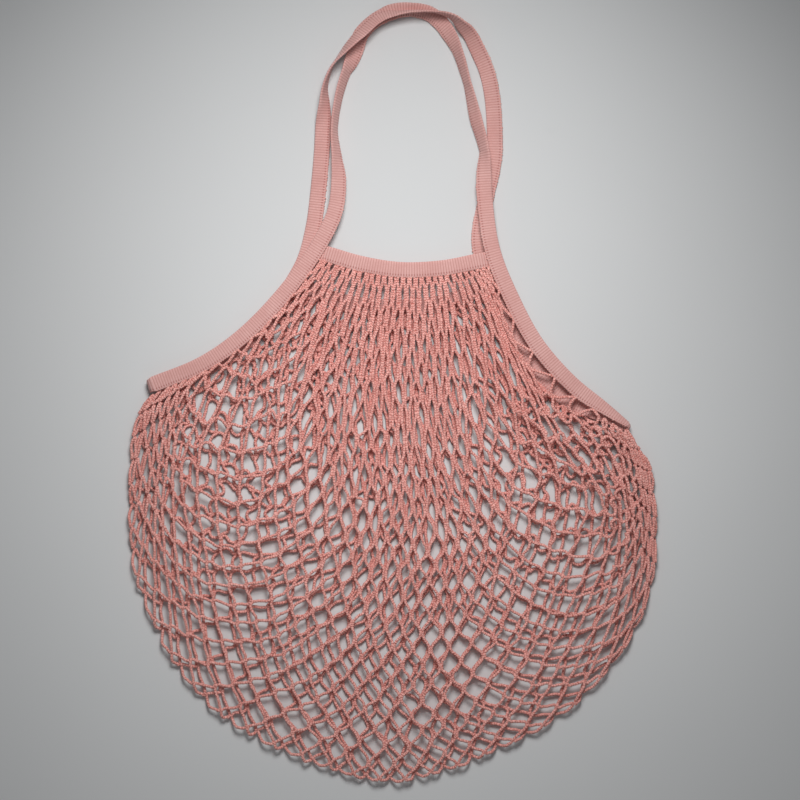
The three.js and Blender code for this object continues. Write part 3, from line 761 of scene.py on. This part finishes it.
shares = np.maximum(1, np.bincount(link_a, minlength=count) + np.bincount(link_b, minlength=count))[:, None]
bend_shares = np.maximum(1, np.bincount(bends[:, 1], minlength=count))[:, None]
for step in range(ROUNDS):
    stiff = (place[bends[:, 0]] + place[bends[:, 2]]) / 2 - place[bends[:, 1]]
    place += (summed(bends[:, 1], stiff) / bend_shares * STIFF + (home - place) * hold * HOME) * free
    for _ in range(LINK_ROUNDS):
        way = place[link_b] - place[link_a]
        fix = way * (1 - rest / np.maximum(np.linalg.norm(way, axis=1)[:, None], TINY)) * 0.5
        place += (summed(link_a, fix) - summed(link_b, fix)) / shares * OVERDRIVE * free
    if step % APART_EVERY == 0:
        way = place[beside[:, 1]] - place[beside[:, 0]]
        size = np.maximum(np.linalg.norm(way, axis=1)[:, None], TINY)
        push = way / size * np.maximum(0, APART - size) * APART_PUSH
        place += (summed(beside[:, 1], push) - summed(beside[:, 0], push)) * free
    if (step + 1) % HEM_EVERY == 0:
        inside_hems()
strain = np.linalg.norm(place[link_b] - place[link_a], axis=1) / rest[:, 0]
print("settled; links at", np.percentile(strain, [1, 50, 99]).round(2), "of their length")

# %% [markdown]
# ## Heights of the net
# The back layer lies on the floor and the front layer on top of it, lifted by the slack between them.
# Soft ridges show where the front layer has slid together, and at the rim it bends down to the fold.
# A physics tool could find these heights, but set from a few rules they stay easy to adjust.

# %% Heights of the net
# A ridge is its two ends, its height and its width.
RIDGES = np.array([
    (-142, -14, -163, -68, 4.5, 13), (-163, -68, -122, -142, 4, 12), (-198, -60, -196, -118, 3, 12),
    (84, 2, 170, -70, 5.5, 13), (170, -70, 140, -150, 3.5, 14), (196, -80, 196, -150, 3.5, 13),
])
FRONT_REST, BACK_REST = 7.5, 2.0
RISE_REACH, RISES = 2.5, (0.8, 0.35)
HEM_ROWS, TAPE_BASE = 5, 1.2
RIDGE_SHARE, RIDGE_SIDES, RIDGE_END = 0.8, 0.5, 6
FOLD_TOP, FOLD_ROWS, FOLD_EASE = 6.6, 4, 1.5
BACK_LIFT, BACK_ROWS = 0.9, 3


def ridge_height(point):
    total = 0.0
    for x0, y0, x1, y1, height, width in RIDGES:
        a, b = np.array([x0, y0]), np.array([x1, y1])
        t = np.clip(((point - a) @ (b - a)) / ((b - a) @ (b - a)), 0, 1)
        total += height * math.exp(-(np.linalg.norm(point - a - t * (b - a)) / width) ** 2)
    return total


rise = [soft_noise(grid, RISE_REACH) * amount for amount in RISES]
joint_height = {}
for layer, r, c in enter:
    v, u = r / FOLD_ROW, c / (2 * MESHES)
    near_hem = 1 - min(c, 2 * MESHES - c, r, HEM_ROWS) / HEM_ROWS
    base = plans[layer][r, c, 2]
    if layer == FRONT:
        ridge = RIDGE_SHARE * ridge_height(place[enter[layer, r, c]])
        ridge = ridge * math.sin(math.pi * u) ** RIDGE_SIDES * (1 - v ** RIDGE_END)
        top = FRONT_REST + ridge + rise[FRONT][r, c]
        height = base * near_hem + top * (1 - near_hem)
        height += (FOLD_TOP - height) * max(0.0, (r - HALF_ROWS + FOLD_ROWS) / FOLD_ROWS) ** FOLD_EASE
    else:
        height = BACK_REST + max(0.0, base - TAPE_BASE) * near_hem + abs(rise[BACK][r, c]) * (1 - near_hem)
        height += BACK_LIFT * max(0.0, (r - HALF_ROWS + BACK_ROWS) / BACK_ROWS)
    joint_height[layer, r, c] = height
print("heights from", round(min(joint_height.values()), 2), "to", round(max(joint_height.values()), 2), "mm")

# %% [markdown]
# ## Lines of the cords in space
# Between two joints a cord rises or sinks evenly, and a slack stretch also arches up a little.
# At the joints the two cords are moved apart, so that they lie side by side with one a little higher.
# At a hem the cord gets thinner and lower, because it runs in below the tape.
# A curve object for each stretch could hold this, but thousands of them would be slow to handle.

# %% Lines of the cords in space
CORD_HALF, LOWER_THIN, LOWER_ROWS, SLACK_THICK, SLACK_FULL = 1.24, 0.05, 1.8, 0.08, 2.2
ARCH, ARCH_VARIES, SLACK_ARCH, WAVER = 0.2, 0.4, 1.8, 0.18
BESIDE, OVER = 1.0, 0.22
HEM_HALF, HEM_DROP, HEM_BESIDE = 1.05, 0.3, 1.15


def stretch_line(number):
    """Places of one stretch in space, and the half width of the cord at each."""
    layer, r, c, slant, ids, link = stretches[number]
    first = (FRONT if layer == FOLD else layer, r, c)
    last = (BACK, r, c + slant) if layer == FOLD else (layer, r + 1, c + slant)
    t = np.linspace(0, 1, LINKS + 1)
    ease = t * t * (3 - 2 * t) if layer == FOLD else t
    z = joint_height[first] * (1 - ease) + joint_height[last] * ease
    line = np.column_stack([place[ids], z])
    loose = link * LINKS / max(1.0, np.linalg.norm(place[ids[0]] - place[ids[-1]])) - 1
    lift = rng.normal(ARCH, ARCH_VARIES) + min(1.0, loose) * abs(rng.normal(0, SLACK_ARCH))
    line[:, 2] += (abs(lift) if layer == BACK else lift) * np.sin(np.pi * t)
    line[1:-1, :2] += rng.normal(0, WAVER, (LINKS - 1, 2))
    thinner = LOWER_THIN * min(1.0, LOWER_ROWS * r / HALF_ROWS)
    halves = np.full(LINKS + 1, CORD_HALF - thinner + SLACK_THICK * min(1.0, SLACK_FULL * loose))
    for end, key, way in ((0, first, slant), (-1, last, -slant)):
        if key[1] == 0 or key[2] in (0, 2 * MESHES):
            halves[end] = HEM_HALF
            line[end, 2] -= HEM_DROP
        if key[2] in (0, 2 * MESHES):
            continue
        turned = np.array([-down_of[key][1], down_of[key][0]])
        lean = -slant if layer == FOLD and end == -1 else slant
        over = OVER * lean * (1 if (key[1] + key[2] // 2) % 2 else -1)
        line[end] += (*(turned * way * (HEM_BESIDE if key[1] == 0 else BESIDE)), over)
    return line, halves


print("a cord is", 2 * CORD_HALF, "mm thick where it is taut")

# %% [markdown]
# ## Round cords
# A cord is a chain of knitted loops, about 2.4 mm thick where it is taut and a little thicker where slack.
# Its tube is swept along the settled line with a section about every millimetre, each second one thicker,
# so the loops show as low beads.
# A curve with a round bevel would give a plain tube, with no beads and no map for the stitches.
# So the sections are placed as arrays, and all cords of a piece are one mesh.

# %% Round cords
FLATNESS, BEAD, SWAY, SWAY_START = 0.9, 0.05, 0.1, 0.4
SAME_PLACE, FINE_STEPS = 0.05, 8


def smooth_line(points, halves, step):
    """A smooth line through the points at even steps, its lengths, and the half width of the cord there."""
    keep = np.concatenate([[True], np.linalg.norm(np.diff(points, axis=0), axis=1) > SAME_PLACE])
    points, halves = points[keep], halves[keep]
    fine = np.linspace(0, len(points) - 1, (len(points) - 1) * FINE_STEPS + 1)
    line = through(points, fine)
    length = lengths_along(line)
    stops = np.linspace(0, length[-1], max(3, int(round(length[-1] / step))) + 1)
    halves = np.interp(stops, length, np.interp(fine, np.arange(len(points)), halves))
    return np.stack([np.interp(stops, length, line[:, k]) for k in range(3)], axis=1), stops, halves


def cord_tubes(name, runs, sides, step):
    """One mesh of round tubes, each along its own line, with closed ends."""
    angle = 2 * np.pi * np.arange(sides) / sides
    points, quads, ends, maps, total = [], [], [], [], 0
    for line, halves in runs:
        line, stops, halves = smooth_line(line, halves, step)
        along = unit(np.gradient(line, axis=0))
        side = unit(np.stack([-along[:, 1], along[:, 0] + TINY, 0 * along[:, 0]], axis=1))
        top = np.cross(along, side)
        n = len(line)
        beat = halves * (1 + BEAD * np.where(np.arange(n) % 2, 1, -1))
        sway = SWAY * np.sin(np.pi * np.arange(n) / 2 + SWAY_START)
        ring = (np.cos(angle)[None, :, None] * side[:, None]
                + np.sin(angle)[None, :, None] * top[:, None] * FLATNESS) * beat[:, None, None]
        points.append((line[:, None] + side[:, None] * sway[:, None, None] + ring).reshape(-1, 3))
        net_grid = total + np.arange(n * sides).reshape(n, sides)
        turned = np.roll(net_grid, -1, axis=1)
        quads.append(np.stack([net_grid[:-1], turned[:-1], turned[1:], net_grid[1:]], axis=-1).reshape(-1, 4))
        ends += [net_grid[0, ::-1].tolist(), net_grid[-1].tolist()]
        u0, u1 = np.repeat(stops[:-1, None], sides, 1), np.repeat(stops[1:, None], sides, 1)
        v0 = np.repeat(np.arange(sides)[None] / sides, n - 1, 0)
        v1 = v0 + 1 / sides
        turns = ((u0, v0), (u0, v1), (u1, v1), (u1, v0))
        maps.append(np.stack([np.stack(pair, -1) for pair in turns], axis=2))
        total += n * sides
    mesh = mesh_from_arrays(name, np.concatenate(points), np.concatenate(quads).tolist() + ends)
    chart = np.concatenate([part.reshape(-1, 2) for part in maps] + [np.zeros((sides * len(ends), 2))])
    chart[:, 0] /= MM
    mesh.uv_layers.new(name="cord").data.foreach_set("uv", chart.astype(np.float32).ravel())
    return new_piece(name, mesh)


print("sections with a bead of", BEAD, "of the cord's half width")

# %% [markdown]
# ## Four pieces of net
# The net is one piece on the real bag. Here it is four meshes, front and back, left and right of the middle,
# because one mesh with all the cords would be too heavy to handle.
# A cord that passes from one piece into the next repeats its last place there, so no gap shows.

# %% Four pieces of net
MIDDLE_X = 4.0
FRONT_SECTION, BACK_SECTION = (7, 1.0), (6, 1.2)
groups = {"net_front_left": [], "net_front_right": [], "net_back_left": [], "net_back_right": []}
for path in cords:
    run, last = [], None
    for number, direction in path:
        layer, ids = stretches[number][0], stretches[number][4]
        side_name = "left" if place[ids, 0].mean() < MIDDLE_X else "right"
        piece_name = f"net_{'back' if layer == BACK else 'front'}_{side_name}"
        line, halves = (part[::direction] for part in stretch_line(number))
        if piece_name != last:
            tail = [(run[-1][0][-1:], run[-1][1][-1:])] if run else []
            run = []
            groups[piece_name].append(run)
            run += tail
        run.append((line, halves))
        last = piece_name
net_pieces = {}
for name, runs in groups.items():
    runs = [[np.concatenate(parts) for parts in zip(*run)] for run in runs]
    piece = cord_tubes(name, runs, *(FRONT_SECTION if "front" in name else BACK_SECTION))
    net_pieces[name] = piece
    print(name, len(runs), "runs", sum(len(p.vertices) - 2 for p in piece.data.polygons), "triangles")

# %% [markdown]
# ## Cotton
# Cotton yarn scatters light softly and is never one even colour: dye takes unevenly, and loose fibres catch
# the light. A picture of yarn could be wrapped round each piece, but it would blur when seen closely.
# The group below gives a mottled colour and a fine fibre height instead.
# The cord, the tape and the stitches use it with their own colours.

# %% Cotton yarn group
def srgb(*values):
    """A colour for a node, from its screen values of 0 to 255."""
    linear = [v / 255 / 12.92 if v <= 10 else ((v / 255 + 0.055) / 1.055) ** 2.4 for v in values]
    return (*linear, 1.0)


def add(tree, kind, links=(), **values):
    """A node with its values set, and its inputs linked from other nodes' outputs."""
    node = tree.nodes.new(kind)
    for key, value in values.items():
        setattr(node, key, value)
    for socket, source in dict(links).items():
        if hasattr(source, "links"):
            tree.links.new(source, node.inputs[socket])
        else:
            node.inputs[socket].default_value = source
    return node


def calc(tree, operation, *sources):
    return add(tree, "ShaderNodeMath", dict(enumerate(sources)), operation=operation).outputs[0]


def between(tree, value, low, high):
    """0 below low, 1 above high and smooth in between."""
    node = add(tree, "ShaderNodeMapRange", {0: value, 1: low, 2: high}, interpolation_type="SMOOTHSTEP")
    return node.outputs[0]


def mixed(tree, share, a, b):
    """A colour between a and b."""
    return add(tree, "ShaderNodeMix", {0: share, 6: a, 7: b}, data_type="RGBA").outputs[2]


def noise(tree, scale, detail):
    """Cloudy values over the piece, from its place in metres."""
    where = tree.nodes.new("ShaderNodeTexCoord").outputs["Object"]
    return add(tree, "ShaderNodeTexNoise", {"Vector": where, "Scale": scale, "Detail": detail}).outputs["Fac"]


PATCH_SCALE, FLECK_SCALE = 55.0, 900.0
PATCH_SHARE, FLECK_SHARE = 0.6, 0.55
DEEP_BELOW, PALE_ABOVE = 0.36, 0.80
yarn = bpy.data.node_groups.new("cotton_yarn", "ShaderNodeTree")
COLOUR, VALUE = "NodeSocketColor", "NodeSocketFloat"
for socket, kind in (("Pale", COLOUR), ("Deep", COLOUR), ("Fibre size", VALUE)):
    yarn.interface.new_socket(socket, in_out="INPUT", socket_type=kind)
for socket, kind in (("Color", COLOUR), ("Fibre", VALUE)):
    yarn.interface.new_socket(socket, in_out="OUTPUT", socket_type=kind)
inside = yarn.nodes.new("NodeGroupInput")
outside = yarn.nodes.new("NodeGroupOutput")
patches = calc(yarn, "MULTIPLY", noise(yarn, PATCH_SCALE, detail=3.0), PATCH_SHARE)
flecks = calc(yarn, "MULTIPLY", noise(yarn, FLECK_SCALE, detail=2.0), FLECK_SHARE)
tone = between(yarn, calc(yarn, "ADD", patches, flecks), DEEP_BELOW, PALE_ABOVE)
yarn.links.new(mixed(yarn, tone, inside.outputs["Deep"], inside.outputs["Pale"]), outside.inputs["Color"])
yarn.links.new(noise(yarn, inside.outputs["Fibre size"], detail=2.0), outside.inputs["Fibre"])
print("group", yarn.name, "nodes", len(yarn.nodes))

# %% [markdown]
# ## Finish of the net's cord
# The loops of the cord lie in two rows of slanted stitches. The gaps between them get painted shade, a darker
# colour, and lie low in the bump.
# They could be modelled loop by loop, but tens of thousands of loops would be far too heavy.
# The cord's own map gives the place along it and round it, so painted stitches follow every bend.
# Noise shifts them, because no two loops of real yarn are the same.

# %% Finish of the net's cord
def new_finish(name, roughness, sheen):
    finish = bpy.data.materials.new(name)
    finish.use_nodes = True
    shader = finish.node_tree.nodes["Principled BSDF"]
    shader.inputs["Roughness"].default_value = roughness
    shader.inputs["Sheen Weight"].default_value = sheen
    shader.inputs["Sheen Roughness"].default_value = 0.5
    shader.inputs["Specular IOR Level"].default_value = 0.2
    return finish, finish.node_tree, shader


def cotton_in(tree, pale, deep, fibre_size):
    colours = {"Pale": pale, "Deep": deep, "Fibre size": fibre_size}
    return add(tree, "ShaderNodeGroup", colours, node_tree=yarn)


def chart_of(tree, name):
    """The two values of a piece's own map."""
    chart = add(tree, "ShaderNodeUVMap", uv_map=name).outputs[0]
    return add(tree, "ShaderNodeSeparateXYZ", {0: chart}).outputs[:2]


def bumped(tree, shader, height, strength, distance):
    bump = add(tree, "ShaderNodeBump", {"Height": height, "Strength": strength, "Distance": distance})
    tree.links.new(bump.outputs[0], shader.inputs["Normal"])


LOOP, LOOP_ROWS, LOOP_SLANT, LOOP_NOISE, LOOP_SHIFT = 0.002, 2.0, 5.0, 420.0, 13.0
# The first colour here is painted shade for the gaps between the cord's loops.
GAP_SHADE_COLOUR, GAP_SHADE_EDGE, YARN_FIBRE = srgb(196, 114, 104), 0.5, 0.5
net_finish, tree, shader = new_finish("net_cotton", roughness=0.9, sheen=0.15)
along, around = chart_of(tree, "cord")
half_turn = calc(tree, "FRACT", calc(tree, "MULTIPLY", around, LOOP_ROWS))
slanted = calc(tree, "ABSOLUTE", calc(tree, "SUBTRACT", half_turn, 0.5))
slant_shift = calc(tree, "MULTIPLY", slanted, LOOP_SLANT)
noise_shift = calc(tree, "MULTIPLY", noise(tree, LOOP_NOISE, detail=2.0), LOOP_SHIFT)
shift = calc(tree, "ADD", slant_shift, noise_shift)
phase = calc(tree, "ADD", calc(tree, "MULTIPLY", along, 2 * math.pi / LOOP), shift)
loops = calc(tree, "MULTIPLY_ADD", calc(tree, "SINE", phase), 0.5, 0.5)
cotton = cotton_in(tree, pale=srgb(255, 192, 182), deep=srgb(238, 166, 156), fibre_size=2600.0)
# Painted shade: the gaps between the loops get the darker colour.
painted_gap_shade = between(tree, loops, 0.0, GAP_SHADE_EDGE)
tree.links.new(mixed(tree, painted_gap_shade, GAP_SHADE_COLOUR, cotton.outputs["Color"]), shader.inputs["Base Color"])
fibre = calc(tree, "MULTIPLY", cotton.outputs["Fibre"], YARN_FIBRE)
bumped(tree, shader, calc(tree, "ADD", loops, fibre), strength=0.8, distance=0.0004)
print("finish", net_finish.name)

# %% [markdown]
# ## Finish of the tape
# The tape's colour is a little weaker than the cord's. Fine ribs cross it, with painted shade in their
# valleys, and a line of machine stitches runs close to its hem, whose pits between the ribs also get painted
# shade.
# The ribs are geometry already, but light alone would leave their valleys too pale, so the shade there is
# painted.
# The cloth map measures both: along the tape, and in from the hem.

# %% Finish of the tape
SEAM_LINE, SEAM_NEAR, SEAM_FAR = 0.0021, 0.0003, 0.0008
# The last colour here is painted shade for the pits of the seam along the hem.
DOT_LOW, DOT_HIGH, PIT_SHADE_SHARE, PIT_SHADE_COLOUR = 0.25, 0.7, 0.6, srgb(168, 96, 90)
# The colour here is painted shade for the valleys between the ribs.
VALLEY_SHADE_EDGE, VALLEY_SHADE_COLOUR = 0.55, srgb(200, 145, 138)
tape_finish, tree, shader = new_finish("tape_cotton", roughness=0.88, sheen=0.2)
along, from_hem = chart_of(tree, "cloth")
wave = calc(tree, "COSINE", calc(tree, "MULTIPLY", along, 2 * math.pi / (RIB / MM)))
ribs = calc(tree, "MULTIPLY_ADD", wave, 0.5, 0.5)
cotton = cotton_in(tree, pale=srgb(225, 178, 172), deep=srgb(212, 160, 154), fibre_size=2200.0)
# Painted shade in the valleys between the ribs.
painted_valley_shade = between(tree, ribs, 0.0, VALLEY_SHADE_EDGE)
colour = mixed(tree, painted_valley_shade, VALLEY_SHADE_COLOUR, cotton.outputs["Color"])
off_line = calc(tree, "ABSOLUTE", calc(tree, "SUBTRACT", from_hem, SEAM_LINE))
on_line = calc(tree, "SUBTRACT", 1.0, between(tree, off_line, SEAM_NEAR, SEAM_FAR))
in_valley = calc(tree, "SUBTRACT", 1.0, between(tree, ribs, DOT_LOW, DOT_HIGH))
# The seam's pits are dips in the bump, and they get painted shade in the colour.
pit_dips_and_shade = calc(tree, "MULTIPLY", on_line, in_valley)
colour = mixed(tree, calc(tree, "MULTIPLY", pit_dips_and_shade, PIT_SHADE_SHARE), colour, PIT_SHADE_COLOUR)
tree.links.new(colour, shader.inputs["Base Color"])
relief = calc(tree, "MULTIPLY_ADD", cotton.outputs["Fibre"], YARN_FIBRE, ribs)
bumped(tree, shader, calc(tree, "SUBTRACT", relief, pit_dips_and_shade), strength=0.45, distance=0.0003)
print("finish", tape_finish.name)

# %% [markdown]
# ## Finish of the stitches
# The sewing thread is a little brighter than the tape.
# It is too fine for a twist to show, so the cotton group alone gives its colour and its fibres.

# %% Finish of the stitches
stitch_finish, tree, shader = new_finish("hem_stitch", roughness=0.9, sheen=0.2)
cotton = cotton_in(tree, pale=srgb(240, 188, 179), deep=srgb(219, 152, 143), fibre_size=3000.0)
tree.links.new(cotton.outputs["Color"], shader.inputs["Base Color"])
bumped(tree, shader, cotton.outputs["Fibre"], strength=0.4, distance=0.0002)
print("finish", stitch_finish.name)

# %% [markdown]
# ## Floor and light
# The floor is a plain pale studio floor. A softbox above the handles, with a narrow spread, gives soft
# shadows that fall towards the rim. A weak lamp from the other side opens them, and the grey world fills
# the rest.
# One bright sky could light the bag alone, but then the cords would hardly stand out from each other.

# %% Floor and light
FLOOR_HALF, FLOOR_LEVEL = 3, -0.0003
FLOOR_DEEP, FLOOR_PALE = srgb(210, 211, 211), srgb(217, 218, 218)
bm = bmesh.new()
bmesh.ops.create_grid(bm, x_segments=1, y_segments=1, size=FLOOR_HALF)
floor_mesh = bpy.data.meshes.new("floor")
bm.to_mesh(floor_mesh)
bm.free()
floor_mesh.transform(Matrix.Translation((0, 0, FLOOR_LEVEL)))
floor = new_piece("floor", floor_mesh)
floor_finish, tree, shader = new_finish("pale_floor", roughness=0.75, sheen=0.0)
clouds = noise(tree, scale=3.0, detail=3.0)
tree.links.new(mixed(tree, clouds, FLOOR_DEEP, FLOOR_PALE), shader.inputs["Base Color"])
floor_mesh.materials.append(floor_finish)


def lamp(name, place, size, power, aim, spread):
    """A round area lamp that looks at its aim. The spread is in degrees."""
    light = bpy.data.lights.new(name, "AREA")
    light.shape, light.size, light.energy, light.spread = "DISK", size, power, math.radians(spread)
    holder = bpy.data.objects.new(name, light)
    holder.location = place
    holder.visible_camera = False
    holder.rotation_euler = (Vector(aim) - Vector(place)).to_track_quat("-Z", "Y").to_euler()
    bpy.context.scene.collection.objects.link(holder)


lamp("window", (0.03, 0.44, 0.7), size=0.35, power=1.38, aim=(-0.02, -0.06, 0), spread=80)
lamp("fill", (0.5, -1.2, 1.3), size=1.2, power=0.8, aim=(0, 0, 0), spread=180)
world = bpy.data.worlds.new("studio")
world.use_nodes = True
sky = world.node_tree.nodes["Background"]
sky.inputs["Color"].default_value = (0.95, 0.97, 1.0, 1)
sky.inputs["Strength"].default_value = 0.16
bpy.context.scene.world = world
bpy.context.scene.view_settings.view_transform = "Standard"
print("lamps", [light.name for light in bpy.data.lights])

# %% [markdown]
# Each piece rides on the one body and has its finish added. All but the stitches also hide the solid
# whose place they take.
# The size that the net was cut to is given in metres, but the net is mostly air: its whole rectangle would
# count the gaps as cloth, so the area of its cords is printed beside that of the rectangle.

FLAT_NET = (0.34, 0.32)


def surface(piece):
    bm = bmesh.new()
    bm.from_mesh(piece.data)
    total = sum(face.calc_area() for face in bm.faces)
    bm.free()
    return total


dressed = [(strap, "strap", "tape_cotton", tape_finish), (strap_stitches, None, "tape_cotton", stitch_finish),
           (binding_stitches, None, "tape_cotton", stitch_finish)]
dressed += [(piece, name, "tape_cotton", tape_finish) for name, (piece, _) in bindings.items()]
dressed += [(piece, "net", "net_cotton", net_finish) for piece in net_pieces.values()]
for piece, node, slot_name, finish in dressed:
    piece.data.materials.append(finish)
    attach(piece, "root")
    if node:
        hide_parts(node)

for name, piece in net_pieces.items():
    cord_area, flat_area = surface(piece) / 2, FLAT_NET[0] * FLAT_NET[1]
    print(name, "cord area", round(cord_area, 4), "of", round(flat_area, 4))
